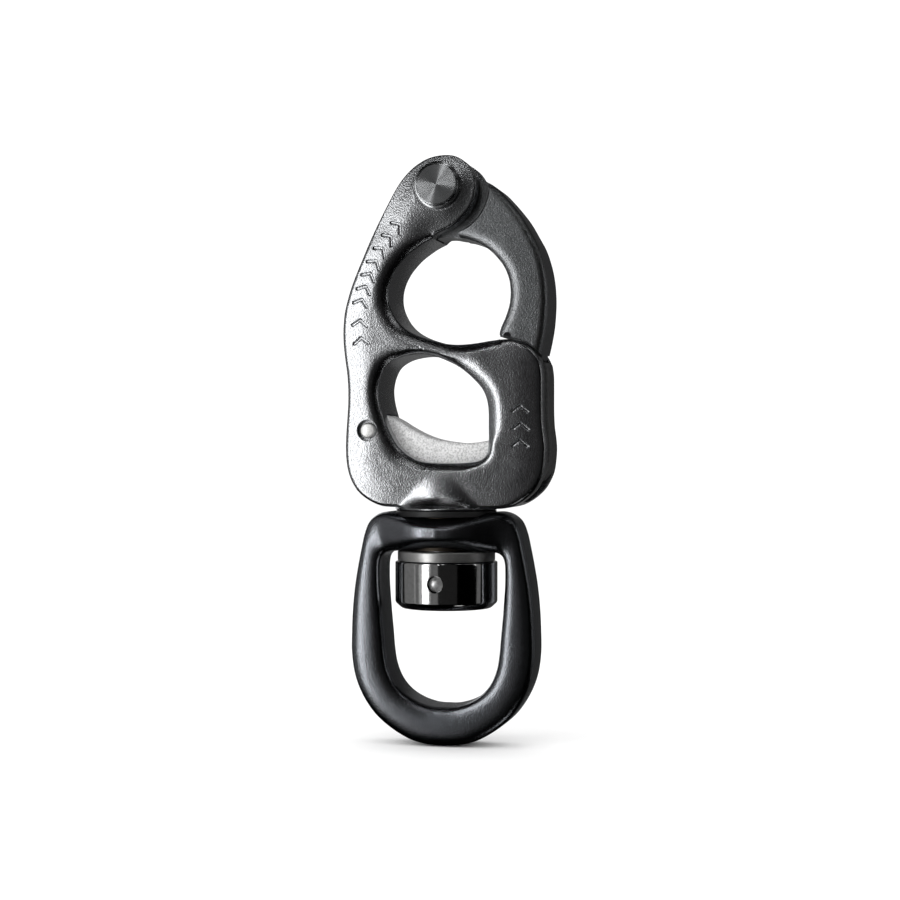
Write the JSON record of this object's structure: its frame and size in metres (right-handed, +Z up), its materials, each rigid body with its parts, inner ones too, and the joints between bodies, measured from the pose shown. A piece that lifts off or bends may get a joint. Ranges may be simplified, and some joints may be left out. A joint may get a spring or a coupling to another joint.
{
  "type": "trigger snap shackle",
  "caption": "Trigger-release snap shackle: a jaw with a hinged arm, a sprung lever in a window that frees it, and a large bail that swivels on a ball bearing.",
  "frame": {"origin": "on the swivel axis, at the top of the jaw's eye where a ring bears", "axes": "+Z up the swivel axis from the bail to the jaw, +X towards the side the jaw arm closes on, +Y to the back"},
  "size_m": [0.0353, 0.0174, 0.0992],
  "materials": {
    "forged_steel": "tumbled satin stainless steel",
    "polished_steel": "polished stainless steel",
    "turned_steel": "turned and machined stainless steel",
    "spring_steel": "drawn spring wire",
    "black_acetal": "black moulded plastic",
    "bush_bronze": "plain bearing bronze"
  },
  "bodies": {
    "shackle_body": {"body": "forged_steel", "arm_pivot_pin": "turned_steel", "trigger_pin": "turned_steel", "neck_washer": "black_acetal", "bearing_lower_race": "polished_steel", "swivel_nut": "polished_steel", "nut_lock_pin": "turned_steel"},
    "jaw_arm": {"arm": "forged_steel"},
    "trigger_lever": {"trigger": "turned_steel", "trigger_spring": "spring_steel"},
    "swivel_bail": {"bail": "forged_steel", "bail_bush": "bush_bronze", "bearing_upper_race": "polished_steel"},
    "ball_cage": {"bearing_cage": "black_acetal", "bearing_ball_01": "polished_steel", "bearing_ball_02": "polished_steel", "bearing_ball_03": "polished_steel", "bearing_ball_04": "polished_steel", "bearing_ball_05": "polished_steel", "bearing_ball_06": "polished_steel", "bearing_ball_07": "polished_steel", "bearing_ball_08": "polished_steel", "bearing_ball_09": "polished_steel", "bearing_ball_10": "polished_steel", "bearing_ball_11": "polished_steel", "bearing_ball_12": "polished_steel"}
  },
  "joints": [
    {"name": "arm_swing", "type": "hinge", "parent": "shackle_body", "child": "jaw_arm", "pos_m": [0, 0, 0.0088], "axis": [0, -1, 0], "range_deg": [0, 110]},
    {"name": "trigger_press", "type": "hinge", "parent": "shackle_body", "child": "trigger_lever", "pos_m": [-0.0123, 0, -0.0321], "axis": [0, 1, 0], "range_deg": [0, 6], "stiffness_Nm_per_rad": 0.4, "springref_deg": -5.73, "deforming": ["trigger_spring"]},
    {"name": "swivel_spin", "type": "hinge", "parent": "shackle_body", "child": "swivel_bail", "pos_m": [0, 0, -0.0495], "axis": [0, 0, 1], "continuous": true},
    {"name": "cage_roll", "type": "hinge", "parent": "shackle_body", "child": "ball_cage", "pos_m": [0, 0, -0.0544], "axis": [0, 0, 1], "continuous": true}
  ],
  "couplings": [
    {"joint": "cage_roll", "follows": "swivel_spin", "ratio": 0.5}
  ]
}
